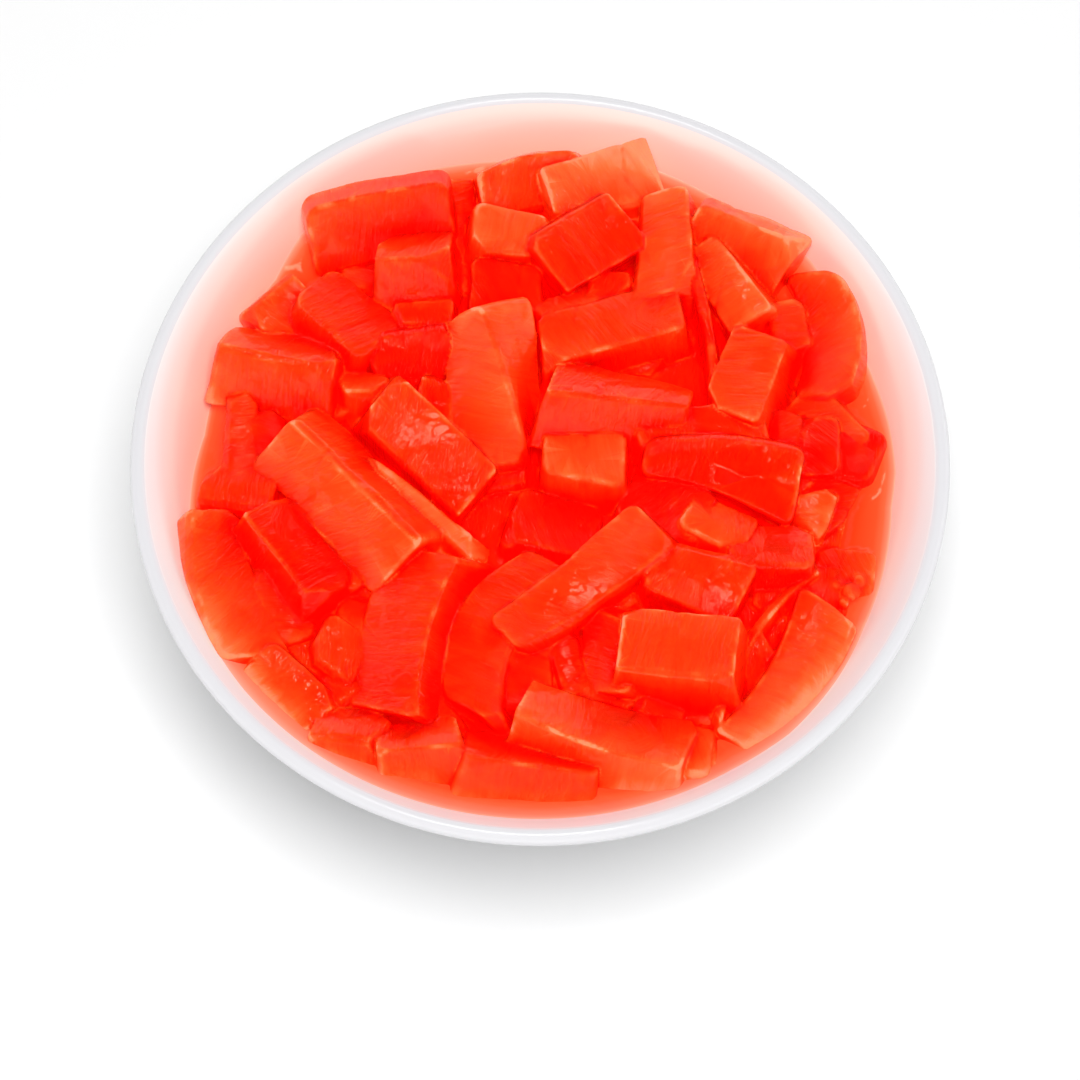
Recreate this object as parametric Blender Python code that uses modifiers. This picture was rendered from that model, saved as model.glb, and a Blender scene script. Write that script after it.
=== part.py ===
"""A small white porcelain bowl filled with strips of red coconut gel in syrup.

Metres, +Z up. The origin is the centre of the foot ring's underside, and -Y is the front.
"""

import math
import random
from collections import namedtuple

import bmesh
import bpy
from mathutils import Vector

MM = 0.001
TURN_STEPS = 64
CORE_STEPS = 32
BEND_PARTS = 5
LIP_PARTS = 6
OUTER_BEND_PARTS = 4
CLEARANCE = 0.3 * MM

# Bowl
RIM_RADIUS = 60 * MM
BOWL_HEIGHT = 45 * MM
WALL = 2.6 * MM
FLARE = math.radians(36.3)
FLOOR_Z = 5.5 * MM
FLOOR_BEND = 30 * MM
FOOT_OUTER = 28.5 * MM
FOOT_INNER = 24.0 * MM
FOOT_BEVEL = 0.6 * MM
FOOT_RECESS = 2.3 * MM

# Syrup and the mass of gel that lies in it
SYRUP_Z = 36 * MM
CORE_RADIUS = 44 * MM
CORE_BOTTOM = 12 * MM
CORE_TOP = 38.5 * MM
CORE_SHOULDER = 1.2 * MM
DOME_RINGS = (0, 0.35, 0.6, 0.8, 1)

# Gel strips
EDGE_BEVEL = 0.9 * MM
BENT_PARTS = 3
ROOM_TOP = 60 * MM
WALL_SPARE = 0.1 * MM

# Strips that lie lower and fill the gaps between the ones that show: rings of (radius in mm, how many)
LOW_RINGS = ((9, 4), (22, 9), (34, 14), (43, 18))
LOW_LENGTH = (9, 14)
LOW_WIDTH = (6, 8)
LOW_THICKNESS = 6
LOW_RISE = (0.2, 1.6)
LOW_LEAN = 25
LOW_SEED = 11

# One row for each strip of gel that shows. start and end are where the middle of its top face starts and
# ends, size is its width and thickness, and lean is how far the top tips to the right of the way from
# start to end, at each end. bow pushes the middle of the strip to that side, and ends is the width at
# each end as a share of the full one. Millimetres and degrees.
Strip = namedtuple("Strip", "name start end size lean bow ends", defaults=((0, 0), 0, (1, 1)))

STRIPS = (
    # front, from the left
    Strip("left_front_slab", (-42, -31.3, 39.6), (-32, -40.2, 39.6), (9.5, 8), (10, 10)),
    Strip("left_front_cube", (-32.4, -39.3, 39.6), (-21.8, -40.9, 40.1), (8, 8.5), (-30, -30), 0, (1, 0.9)),
    Strip("front_left_stub", (-23.7, -42.4, 40.1), (-11.5, -41, 40.6), (8.5, 9.5), (-35, -35), 0, (0.8, 1)),
    Strip("front_block", (-11, -43.1, 40.6), (8, -46.2, 39.8), (8.5, 9), (-40, -40), 0, (1, 0.7)),
    Strip("front_wedge", (-2, -37, 42.5), (22, -43.8, 41), (11, 9.5), (-25, -25), 1, (0.75, 0.95)),
    Strip("front_right_stub", (18.5, -43.8, 40), (25, -44.6, 39.5), (8, 6), (-10, -10)),
    Strip("front_right_sliver", (24, -40, 39.5), (24.5, -46, 39), (2.5, 5), (0, 0), 0, (0.7, 1)),
    Strip("front_right_strip", (42, -22.5, 41), (28.5, -43.5, 39.2), (10.5, 8), (-3, -3), -2, (0.95, 0.8)),
    Strip("edge_ribbon_front", (40.3, -16.6, 40.3), (25.4, -40.9, 39.6), (1.6, 5), (0, 0), 2.8, (1, 0.8)),
    Strip("front_right_block", (12, -29, 45), (29, -31, 45), (10.5, 13.5), (-8, -8)),
    Strip("block_neighbour", (8.5, -23.5, 42), (9.5, -36, 40.5), (8, 7), (30, 30), 0, (0.8, 1)),
    Strip("front_sliver", (3, -27, 40.5), (5.5, -35.5, 39.5), (4, 6)),
    Strip("front_round", (-2.5, -28, 41), (-1.5, -38, 39.5), (9, 8), (-10, -10), 0, (0.9, 0.8)),
    Strip("left_pit_block", (-32.5, -26, 39.5), (-26, -30.5, 39), (8, 7)),
    Strip("wavy_strip", (-16.5, -14.5, 43), (-22.5, -38, 40.5), (12, 9), (25, 26), 1.5, (0.95, 0.95)),
    Strip("hooked_strip", (2, -16.5, 42.5), (-9.5, -39, 40.5), (11, 9), (10, 10), 4.5, (0.9, 0.9)),
    Strip("long_front_strip", (-5, -27.5, 43), (17, -11, 45.5), (9.5, 9.5), (-5, 5), 0.8, (0.75, 1)),
    Strip("right_wedge", (16, -16.5, 43.5), (29, -21.5, 43), (10.5, 9), (-4, 6), 0, (0.8, 1)),
    # left side
    Strip("left_wall_slab", (-47.4, -8, 41.5), (-41.2, -30.6, 40.5), (11.5, 6), (-25, -12), 1.5, (0.75, 0.95)),
    Strip("left_ridge_block", (-39.5, -7.5, 42.5), (-29, -20.5, 41.5), (9.5, 9), (-22, -22), 0, (0.9, 1)),
    Strip("left_under_strip", (-38, -6.5, 41), (-26.5, -19, 40), (4, 6)),
    Strip("big_left_slab", (-39.5, 2.5, 43.5), (-21, -17.5, 43), (11.5, 9), (37, 37), 0, (0.85, 1)),
    Strip("left_wall_tail", (-50, -2.5, 39.5), (-39, -4, 41), (8, 5), (-5, -5), 0, (0.8, 1)),
    Strip("left_wall_strip", (-44.2, 13.5, 41), (-44, -1, 40), (5, 8), (0, 0), 0, (0.9, 1)),
    Strip("left_gap_stub", (-40.5, 8.5, 41), (-39, 0, 40.5), (5.5, 7), (0, 0), 0, (1, 0.7)),
    Strip("left_block", (-46.7, 20.4, 42), (-29.5, 16.5, 43), (9, 9.5), (-40, -40), 0, (0.9, 1)),
    Strip("left_gap_round", (-29.5, 13, 41.5), (-22, 13, 41.5), (5.5, 6), (-30, -30)),
    # middle
    Strip("lit_diagonal", (-24, 9, 45), (-9.5, -5.5, 43), (9.5, 9), (5, 8)),
    Strip("centre_upright", (-12, 22, 45.5), (-6.5, -1.5, 43.1), (11.5, 9), (58, 1), 0, (0.9, 0.85)),
    Strip("centre_gap_block", (-18.5, 10.5, 42.5), (-12, 8.5, 42), (7.5, 7)),
    Strip("left_dark_slab", (-25.5, 17, 42), (-13, 17.5, 42.5), (8, 7), (22, 22), 0, (0.8, 1)),
    Strip("low_centre_block", (-4, -8, 41.5), (8.5, -11.5, 41), (10, 8), (-15, -15), 0, (1, 0.9)),
    Strip("centre_block", (1, 1.5, 43.5), (13, -0.5, 43.5), (10, 10), (-12, -12), 0, (0.9, 1)),
    Strip("crowned_wedge", (2, 12.5, 45.5), (22.5, 9.4, 43.6), (10.5, 9.5), (-35, -35), 0, (1, 0.5)),
    Strip("long_back_slab", (0, 18.5, 44), (21, 25, 44), (9, 8.5), (-10, -10)),
    Strip("wide_slab", (15, -0.5, 43.8), (37.5, -5, 43), (11.5, 7), (22, 22), -1.5, (0.45, 1)),
    Strip("slab_behind", (14, 3.5, 43), (33, 4.5, 42.5), (8.5, 6), (-2, -2), -1.5, (0.6, 0.9)),
    Strip("dark_low_slab", (12.5, -4.5, 41.5), (24.5, -8.5, 41.5), (10.5, 8), (-3, -3), 0, (0.8, 1)),
    Strip("small_cut_block", (22, -7.5, 42), (31, -12, 41.5), (8, 8), (-15, -15), 0, (0.9, 1)),
    # right side
    Strip("faceted_block", (27.5, -13, 42), (40, -13, 41), (9.5, 9), (-20, -20), 0, (0.9, 0.9)),
    Strip("right_bubble_piece", (40.5, -16, 38.5), (49, -16.5, 38.5), (8, 5), (0, 0), 0, (1, 0.8)),
    Strip("right_wall_slab", (37, 6, 39), (50.5, 1.5, 39), (11, 6), (-3, -3), 0, (1, 0.8)),
    Strip("right_edge_strip", (41.5, 8, 41), (41, -1.5, 40.5), (6.5, 7), (-12, -12)),
    Strip("right_thin_piece", (36.5, 8, 41), (37, -2, 40.5), (4, 7)),
    Strip("right_block", (33, 20.5, 44), (28, 7.5, 43.5), (9, 9), (12, 12)),
    Strip("back_right_inner", (36.5, 26.5, 41.5), (38, 17.5, 40.5), (5.5, 6)),
    Strip("back_right_bend", (40.1, 31, 42), (41.5, 11, 40), (9.5, 8), (14, 14), -2.8, (0.85, 0.9)),
    # back, from the right
    Strip("back_right_slab", (22, 36.8, 43.5), (37, 30.4, 42), (10, 6), (35, 35), 0, (0.9, 1)),
    Strip("mottled_strip", (23.5, 34.5, 43.5), (31.5, 22, 43), (7.5, 8), (18, 18), 0, (0.8, 1)),
    Strip("edge_ribbon_back", (21, 36, 44), (26, 13, 42), (2, 8), (0, 0), -0.8, (1, 0.7)),
    Strip("back_tall_block", (18.5, 42.5, 44.5), (18.5, 25.5, 44), (9.5, 9), (10, 10), 0, (0.75, 1)),
    Strip("back_tilted_slab", (1, 42.8, 44), (17.5, 47.6, 43.5), (10.8, 6), (8, 8), 0, (0.8, 1)),
    Strip("back_dark_slab", (1, 30, 45), (13, 38, 45.5), (10, 6.5), (19, 19)),
    Strip("small_wet_stub", (7.5, 28.5, 42.5), (13.5, 28, 42.5), (5, 6)),
    Strip("small_wet_wedge", (-0.5, 24.5, 42.5), (8.5, 26.5, 42.5), (5.5, 6), (-20, -20), 0, (0.7, 1)),
    Strip("back_centre_block", (-10, 28.5, 42.5), (0.5, 27.5, 42.5), (9.5, 8), (-2, -2), 0, (1, 0.8)),
    Strip("fan_wedge", (-10.5, 37.5, 44), (1, 35.5, 44.5), (8.5, 8), (2, 2), 0, (0.95, 0.8)),
    Strip("back_mound", (-8.5, 42.9, 42), (7, 46, 42.3), (10, 7), (20, 20), -1.2, (0.8, 0.9)),
    Strip("back_left_stub", (-24, 34, 44), (-13, 34.5, 44), (8.5, 8.5), (-35, -35), 0, (0.9, 1)),
    Strip("back_left_bits", (-22, 24, 42), (-13, 24, 42), (4.5, 5), (0, 0), 0, (0.9, 1)),
    Strip("back_left_slab", (-34.3, 35.2, 41.8), (-13, 39.3, 42.6), (11.5, 5.5), (45, 45), -0.8, (0.95, 1)),
    Strip("left_back_wedge", (-33.5, 28.5, 43), (-23, 19, 42.5), (10.5, 8.5), (-20, -20), 0, (0.9, 1)),
    Strip("left_back_flat", (-42, 22, 40.5), (-34.5, 27.5, 41.5), (8, 6), (15, 15), 0, (0.9, 1)),
)


def clear_scene():
    for obj in list(bpy.data.objects):
        bpy.data.objects.remove(obj)


def new_collection(name):
    collection = bpy.data.collections.new(name)
    bpy.context.scene.collection.children.link(collection)
    return collection


def material(name, colour, roughness):
    made = bpy.data.materials.new(name)
    made.use_nodes = True
    shader = made.node_tree.nodes["Principled BSDF"]
    shader.inputs["Base Color"].default_value = (*colour, 1)
    shader.inputs["Roughness"].default_value = roughness
    shader.inputs["Metallic"].default_value = 0
    return made


def wall_radius(z):
    """Radius of the bowl's inner wall at height z, on the straight flare below the rim."""
    lip = WALL / 2
    inner_r = RIM_RADIUS - lip - lip * math.cos(FLARE)
    inner_z = BOWL_HEIGHT - lip + lip * math.sin(FLARE)
    return inner_r - (inner_z - z) * math.tan(FLARE)


def arc(centre, radius, start, end, parts):
    """Points on an arc in the profile plane, from angle start to end, measured from +X towards +Z."""
    angles = [start + (end - start) * i / parts for i in range(parts + 1)]
    return [(centre[0] + radius * math.cos(a), centre[1] + radius * math.sin(a)) for a in angles]


def bend_centre():
    """Centre of the round bend between the bowl's floor and its flared wall."""
    z = FLOOR_Z + FLOOR_BEND
    touch_r = math.cos(FLARE) * FLOOR_BEND
    touch_z = z - math.sin(FLARE) * FLOOR_BEND
    return wall_radius(touch_z) - touch_r, z


def inside_of_bowl(gap, parts):
    """The inner surface from the axis outwards to the top of the bend, moved inwards by gap."""
    return [(0, FLOOR_Z + gap)] + arc(bend_centre(), FLOOR_BEND - gap, -math.pi / 2, -FLARE, parts)


def turned(name, profile, steps, collection, finish):
    """A solid of revolution. The profile starts and ends on the axis and runs down its outer side."""
    mesh = bpy.data.meshes.new(name)
    points = [(r, 0, z) for r, z in profile]
    mesh.from_pydata(points, [(i, i + 1) for i in range(len(points) - 1)], [])
    obj = bpy.data.objects.new(name, mesh)
    collection.objects.link(obj)
    screw = obj.modifiers.new("turn", "SCREW")
    screw.steps = steps
    screw.render_steps = steps
    screw.use_merge_vertices = True
    screw.merge_threshold = 0.00001
    screw.use_smooth_shade = True
    if finish:
        mesh.materials.append(finish)
    return obj


def bowl_profile():
    lip = WALL / 2
    lip_centre = (RIM_RADIUS - lip, BOWL_HEIGHT - lip)
    inside = inside_of_bowl(0, BEND_PARTS)
    rim = arc(lip_centre, lip, math.pi - FLARE, -FLARE, LIP_PARTS)
    bend = bend_centre()
    radius = FLOOR_BEND + WALL
    foot_angle = -math.acos((FOOT_OUTER - bend[0]) / radius)
    outside = arc(bend, radius, -FLARE, foot_angle, OUTER_BEND_PARTS)
    foot = [
        (FOOT_OUTER - FOOT_BEVEL, FOOT_BEVEL),
        (FOOT_OUTER - 2 * FOOT_BEVEL, 0),
        (FOOT_INNER + 2 * FOOT_BEVEL, 0),
        (FOOT_INNER + FOOT_BEVEL, FOOT_BEVEL),
        (FOOT_INNER, FOOT_RECESS),
        (0, FOOT_RECESS),
    ]
    return inside + rim + outside + foot


def core_outline(gap):
    """The gel core's underside and side, from the axis to the syrup's level, moved outwards by gap."""
    side = gap / math.cos(FLARE)
    low_radius = CORE_RADIUS - (SYRUP_Z - CORE_BOTTOM) * math.tan(FLARE)
    return [
        (0, CORE_BOTTOM - gap),
        (low_radius + side - gap * math.tan(FLARE), CORE_BOTTOM - gap),
        (CORE_RADIUS + side, SYRUP_Z),
    ]


def syrup_profile():
    """Syrup between the bowl and the core, up to its level."""
    bend = inside_of_bowl(CLEARANCE, BEND_PARTS)
    level = [(wall_radius(SYRUP_Z) - CLEARANCE / math.cos(FLARE), SYRUP_Z)]
    return core_outline(CLEARANCE) + level + bend[::-1]


def dome_height(radius):
    """Height of the core's domed top at a distance from the axis."""
    edge = SYRUP_Z + CORE_SHOULDER
    return edge + (CORE_TOP - edge) * (1 - (radius / CORE_RADIUS) ** 2)


def core_profile():
    """The heap's own mass: a low dome over the syrup, tapering down into the bowl."""
    dome = [(CORE_RADIUS * share, dome_height(CORE_RADIUS * share)) for share in DOME_RINGS]
    return dome + core_outline(0)[::-1]


def room_profile():
    """The space over the syrup that a strip may fill: clear of the wall and of the syrup's surface."""
    low = SYRUP_Z + CLEARANCE
    side = (CLEARANCE + WALL_SPARE) / math.cos(FLARE)
    straight = wall_radius(BOWL_HEIGHT) - side
    return [(0, ROOM_TOP), (straight, ROOM_TOP), (straight, BOWL_HEIGHT), (wall_radius(low) - side, low), (0, low)]


def strip_frame(strip):
    """Start, length and the three directions of a strip: along, to the right, and up."""
    start = Vector(strip.start) * MM
    way = Vector(strip.end) * MM - start
    along = way.normalized()
    right = along.cross(Vector((0, 0, 1))).normalized()
    return start, way.length, along, right, right.cross(along)


def strip_object(strip, collection, finish):
    """A cut strip of gel: a box with rounded edges, tapered, leaned and bowed along its length."""
    start, length, along, right, up = strip_frame(strip)
    width = strip.size[0] * MM
    thick = strip.size[1] * MM
    shape = bmesh.new()
    bmesh.ops.create_cube(shape, size=1)
    for vert in shape.verts:
        vert.co = Vector((vert.co.x * length, vert.co.y * width, (vert.co.z - 0.5) * thick))
    bevel = min(EDGE_BEVEL, 0.3 * width)
    bmesh.ops.bevel(shape, geom=shape.edges[:], offset=bevel, segments=1, affect="EDGES")
    if strip.bow or strip.lean[0] != strip.lean[1]:
        for i in range(1, BENT_PARTS):
            plane = Vector(((i / BENT_PARTS - 0.5) * length, 0, 0))
            cut = shape.verts[:] + shape.edges[:] + shape.faces[:]
            bmesh.ops.bisect_plane(shape, geom=cut, plane_co=plane, plane_no=(1, 0, 0))
    for vert in shape.verts:
        share = vert.co.x / length + 0.5
        lean = math.radians(strip.lean[0] + (strip.lean[1] - strip.lean[0]) * share)
        tipped_right = right * math.cos(lean) - up * math.sin(lean)
        tipped_up = up * math.cos(lean) + right * math.sin(lean)
        across = -vert.co.y * (strip.ends[0] + (strip.ends[1] - strip.ends[0]) * share)
        bow = strip.bow * MM * 4 * share * (1 - share)
        spot = start + along * length * share + right * bow
        vert.co = spot + tipped_right * across + tipped_up * vert.co.z
    bmesh.ops.recalc_face_normals(shape, faces=shape.faces[:])
    mesh = bpy.data.meshes.new(strip.name)
    shape.to_mesh(mesh)
    shape.free()
    mesh.materials.append(finish)
    obj = bpy.data.objects.new(strip.name, mesh)
    collection.objects.link(obj)
    return obj


def low_strips():
    """Strips spread in rings over the core's dome, turned every way, which show in the gaps."""
    draw = random.Random(LOW_SEED)
    found = []
    for ring, (radius, count) in enumerate(LOW_RINGS):
        for i in range(count):
            place = 2 * math.pi * (i + 0.5 * (ring % 2) + draw.uniform(-0.2, 0.2)) / count
            heading = draw.uniform(0, math.pi)
            half = 0.5 * draw.uniform(*LOW_LENGTH)
            top = dome_height(radius * MM) / MM + draw.uniform(*LOW_RISE)
            x = radius * math.cos(place)
            y = radius * math.sin(place)
            reach_x = half * math.cos(heading)
            reach_y = half * math.sin(heading)
            start = (x - reach_x, y - reach_y, top)
            end = (x + reach_x, y + reach_y, top + draw.uniform(-1, 1))
            lean = draw.uniform(-LOW_LEAN, LOW_LEAN)
            size = (draw.uniform(*LOW_WIDTH), LOW_THICKNESS)
            found.append(Strip(f"low_strip_{ring}_{i}", start, end, size, (lean, lean)))
    return found


def evaluated_mesh(obj):
    graph = bpy.context.evaluated_depsgraph_get()
    return bpy.data.meshes.new_from_object(obj.evaluated_get(graph))


def apply_modifiers(obj):
    mesh = evaluated_mesh(obj)
    obj.modifiers.clear()
    obj.data = mesh


def boolean(obj, operation, other=None, group=None):
    """Cuts or joins obj with another object, or with a whole collection, and applies the result."""
    modifier = obj.modifiers.new(operation.lower(), "BOOLEAN")
    modifier.operation = operation
    modifier.solver = "EXACT"
    if group:
        modifier.operand_type = "COLLECTION"
        modifier.collection = group
    else:
        modifier.object = other
    apply_modifiers(obj)


def shells(shape):
    """The connected bodies of a mesh, as lists of faces."""
    left = set(shape.faces)
    found = []
    while left:
        body = []
        front = [left.pop()]
        while front:
            face = front.pop()
            body.append(face)
            near = {other for edge in face.edges for other in edge.link_faces}
            near &= left
            left -= near
            front.extend(near)
        found.append(body)
    return found


def keep_largest_shell(obj):
    """Fills the hollows that joining has sealed and drops loose scraps."""
    shape = bmesh.new()
    shape.from_mesh(obj.data)
    bodies = sorted(shells(shape), key=len, reverse=True)
    spare = [face for body in bodies[1:] for face in body]
    bmesh.ops.delete(shape, geom=spare, context="FACES")
    shape.to_mesh(obj.data)
    shape.free()


def make_heap(collection, cutters, finish):
    """The gel heap: a core with every strip that shows fused on, kept clear of bowl and syrup."""
    heap = turned("gel_heap", core_profile(), CORE_STEPS, collection, finish)
    apply_modifiers(heap)
    room = turned("room", room_profile(), TURN_STEPS, cutters, None)
    apply_modifiers(room)
    room.hide_render = True
    room.display_type = "WIRE"
    strips = new_collection("strips")
    for strip in (*STRIPS, *low_strips()):
        boolean(strip_object(strip, strips, finish), "INTERSECT", other=room)
    boolean(heap, "UNION", group=strips)
    for obj in list(strips.objects):
        bpy.data.objects.remove(obj)
    bpy.data.collections.remove(strips)
    keep_largest_shell(heap)
    heap.data.materials.clear()
    heap.data.materials.append(finish)
    return heap


def main():
    clear_scene()
    parts = new_collection("coconut gel bowl")
    cutters = new_collection("cutters")
    porcelain = material("glazed white porcelain", (0.9, 0.88, 0.86), 0.12)
    red_syrup = material("red syrup", (0.85, 0.02, 0.006), 0.05)
    red_gel = material("red coconut gel", (1.0, 0.045, 0.01), 0.15)
    turned("bowl", bowl_profile(), TURN_STEPS, parts, porcelain)
    turned("syrup", syrup_profile(), TURN_STEPS, parts, red_syrup)
    make_heap(parts, cutters, red_gel)


main()
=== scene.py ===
"""The looks of a small white porcelain bowl, heaped with red coconut gel strips in syrup.

The frame is in metres, +Z up, with -Y to the front. Strips and syrup are worked out in millimetres.
"""

import itertools
import math
import random
from collections import namedtuple

import bmesh
import bpy
import numpy as np
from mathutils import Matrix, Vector


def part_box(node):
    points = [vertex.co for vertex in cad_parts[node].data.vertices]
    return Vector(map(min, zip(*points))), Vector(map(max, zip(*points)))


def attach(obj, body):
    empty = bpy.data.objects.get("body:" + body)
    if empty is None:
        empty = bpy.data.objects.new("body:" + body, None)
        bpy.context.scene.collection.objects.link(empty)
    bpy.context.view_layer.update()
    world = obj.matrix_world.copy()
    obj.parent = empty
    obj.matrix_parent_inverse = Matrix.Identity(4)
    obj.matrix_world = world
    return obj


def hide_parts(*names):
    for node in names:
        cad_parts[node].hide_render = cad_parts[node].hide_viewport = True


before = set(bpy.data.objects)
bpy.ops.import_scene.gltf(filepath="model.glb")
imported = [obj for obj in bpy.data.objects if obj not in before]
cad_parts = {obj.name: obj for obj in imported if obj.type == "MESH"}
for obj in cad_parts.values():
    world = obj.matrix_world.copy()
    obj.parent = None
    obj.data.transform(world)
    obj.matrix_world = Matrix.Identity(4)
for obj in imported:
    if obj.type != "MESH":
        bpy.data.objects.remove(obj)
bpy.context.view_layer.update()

MM = 0.001

# Bowl, read from the frame where the frame holds it
RIM_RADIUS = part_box("bowl")[1].x / MM
BOWL_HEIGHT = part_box("bowl")[1].z / MM
SYRUP_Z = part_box("syrup")[1].z / MM
CORE_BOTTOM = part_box("gel_heap")[0].z / MM
WALL = 2.6
FLARE = math.radians(36.3)
FLOOR_Z = 5.5
FLOOR_BEND = 30
FOOT_OUTER = 28.5
FOOT_INNER = 24
FOOT_TOP = 3
FOOT_BEVEL = 0.6
FOOT_RECESS = 2.3
RECESS_CORNER = ((0.5, 0.4), (1.2, 0))
BOWL_STEPS = 240
WALL_STEPS = 12
BEND_STEPS = 16
OUTER_STEPS = 12

# The porcelain's colours. A painted red glow, for red light from the gel, warms the inside, up to LIP_WHITE
# below the top of the lip, on a scale that starts at the height WARM_FROM. WARM_FALL puts its whites lower
# down at the front and higher up at the back. The glaze lies in faint ripples.
PLAIN_WHITE = ((0, "#CECED0"), (1, "#D6D5D8"))
PAINTED_GLOW_WHITES = (
    (0, "#F4BEA8"), (0.16, "#F2C6B4"), (0.42, "#ECCEC2"), (0.53, "#EEDAD0"), (0.68, "#ECDFD9"),
    (0.82, "#E9E8E6"), (1, "#E5EAEA"),
)
WARM_FROM = 34
WARM_FALL = 0.38
LIP_WHITE = 0.4
GLAZE_RIPPLE = 11.11
GLAZE_DEPTH = 0.3

# Camera at the photograph's angle: it looks at TARGET from this far away
TARGET = Vector((0, -0.0119, 0.040))
CAMERA_DISTANCE = 0.6
CAMERA_ELEVATION = math.radians(67.55)
CAMERA_LENS = 136.87
CAMERA_SENSOR = 36
CAMERA_NEAR = 0.01

# Lights: each softbox is a square that spans an angle, seen from the bowl, with its centre tipped back and
# left from the vertical, or to the front and right where the angle is below zero. The wide one fills, and is
# kept out of reflections. The small one is what they show. The room is white low down, grey above and dark
# at its ceiling: the stops are sines of elevations. The floor glows a little, to be pure white.
FILL_BACK = math.radians(-13)
FILL_LEFT = math.radians(-3)
FILL_SPAN = math.radians(27)
FILL_WATTS = 26
GLINT_BACK = math.radians(5)
GLINT_LEFT = math.radians(2)
GLINT_SPAN = math.radians(13.5)
GLINT_WATTS = 3.3
LIGHT_DISTANCE = 1.6
ROOM_STRENGTH = 1.3
ROOM_SHADES = ((0, "#FFFFFF"), (0.36, "#FFFFFF"), (0.47, "#484848"), (0.72, "#303030"), (0.87, "#161616"))
FLOOR_GLOW = 0.02
FLOOR_REACH = 2

# Reds, from deep gel, and gel in painted shade, to thin gel and painted highlights, and from a film of syrup
# on the white bowl to syrup that is SYRUP_DEEP deep.
# RED_REACH is how far red light goes under the skin. PAINTED_INNER_GLOW is a painted red glow that stands for
# red light that strips pass on to each other deep in the heap, further than that.
GEL_REDS = (
    (0, "#EC0802"), (0.2, "#F01C02"), (0.4, "#F43408"), (0.6, "#F84A14"), (0.8, "#FF6A30"), (1, "#FF9468"),
)
SYRUP_REDS = (
    (0, "#FFAE96"), (0.03, "#FF8C6C"), (0.1, "#FF6840"), (0.2, "#FF5228"), (0.5, "#FF3E16"), (1, "#FF2406"),
)
SYRUP_DEEP = 7
RED_REACH = 1.2
PAINTED_INNER_GLOW = 0.13

# Knife marks lie side by side along each strip, turned by up to MARK_TURN, and show in patches. MARKS_SHIFT
# sets the strips' patterns apart. The film of syrup over them lies in ripples.
MARK_APART = 1
MARK_LENGTH = 10
MARK_DEPTH = 0.8
MARK_SHADE = 0.24
MARK_STRENGTH = 0.9
MARK_TURN = 0.6
MARKS_SHIFT = 40
MARKED_PATCH = 9.09
WET_RIPPLE = 2.381
WET_DEPTH = 0.4

# The grid that the heap's skin is worked out on, and how the skin's points are evened out. Each strip is
# worked out REACH_SPARE past its own size. Where no second strip is near, it counts as FAR away.
GRID = 0.33
GRID_FLOOR = 33.5
GRID_TOP = 50.5
GRID_REACH = 55
REACH_SPARE = 1
FAR = 9.0
SETTLE_TURNS = 3
SETTLE_LIMIT = 0.3
SETTLE_SHARE = 0.8

# The skin is thinned out to this many triangles. Where it bends more than NEAR_EDGE it is thinned less, by
# the weight KEEP_EDGE, and more than HIDDEN_BELOW under the syrup it counts as flat.
HEAP_TRIANGLES = 190000
NEAR_EDGE = 0.25
KEEP_EDGE = 0.3
HIDDEN_BELOW = 1

# The core under the strips has a low dome. The grid's lowest layers hold the core alone, so that the skin
# ends in one round edge, which the syrup hides.
CORE_RADIUS = 44
CORE_TOP = 38.5
CORE_SHOULDER = 1.2
CORE_SPARE = 2
CORE_LAYERS = 2
DOME_SLOPE = 0.9

# How a strip differs from a plain box. Waves are a height and lengths, and other pairs are the ends of a
# range that each strip draws from. Its upright corners are CORNER_ROUND times as round as its edges, and
# neither is rounder than WIDEST_ROUND of its width.
SKEW = 0.16
CROWN = (0.1, 0.5)
SIDE_SLOPE = 0.13
LONG_WAVES = (0.25, (16, 11, 8))
SHORT_WAVES = (0.05, (4.5, 3.6))
EDGE_ROUND = (0.15, 0.55)
CORNER_ROUND = 4
WIDEST_ROUND = 0.4
CORNER_CUTS = 2
CUT_DEPTH = (0.5, 2)
FACET_DEPTH = (0.1, 0.6)
FACET_TILT = (0.45, 0.95)
NICKS = 2
NICK_DEPTH = (0.06, 0.18)
NICK_WIDTH = 0.3
NICK_TURN = 0.7
NICK_PLACE = 0.4
NICK_FADE = 0.6
STRIP_SEED = 100

# How strips join: welded where they touch, with a fine groove, and pressed a little into the wall
SEAM_WELD = 1
SEAM_GROOVE = 0.2
SEAM_WIDTH = 0.4
WALL_OVERLAP = 0.25

# Paleness is a sum: room over the gel, which paints shade into the gaps, height, little gel underneath, the
# white wall beside it, tints of its strip, and soft clouds, each with its weight. Cut edges and seams add
# painted highlights and painted shade.
PALE_START = -0.42
PAINTED_GAP_SHADE = 0.5
PALE_HIGH = 0.28
PALE_THIN = 0.32
PALE_AT_WALL = 0.55
PALE_TINT = 0.09
PALE_CLOUD = 0.05
OPEN_REACHES = (0.8, 1.6, 3.2, 5)
FULL_DEPTHS = (0.8, 1.6)
WALL_GLOW = 10
CLOUDS = (1, (13, 9, 7))
MOTTLE = (2, (6, 4.4, 3.1, 2.3))
CORE_TINT = -1.0
SHADE_FADE = 1.6
SEEN_DEPTHS = (1.5, 2.5, 3.5, 5)
SEEN_SHARE = 0.35
# Painted highlights along cut edges, and painted highlights and painted shade along seams, in stretches
EDGE_PAINTED_HIGHLIGHT = 0.8
SEAM_PAINTED_LIGHT_AND_SHADE = 0.5
PAINTED_LIGHT_STRETCHES = (4, (7, 5, 4))
CLOUD_SEED = 3
MOTTLE_SEED = 21
PAINTED_LIGHT_STRETCH_SEED = 8
FINISH_SEED = 5

# Air bubbles caught in the syrup by the right wall: (x, y, z, radius)
BUBBLES = (
    (45.2, -19.6, 39, 1.5), (43.4, -18.6, 38.8, 1.1), (46.4, -17.9, 38.8, 1), (44.2, -21.3, 38.8, 0.8),
)
BUBBLE_WELD = 0.3

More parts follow.
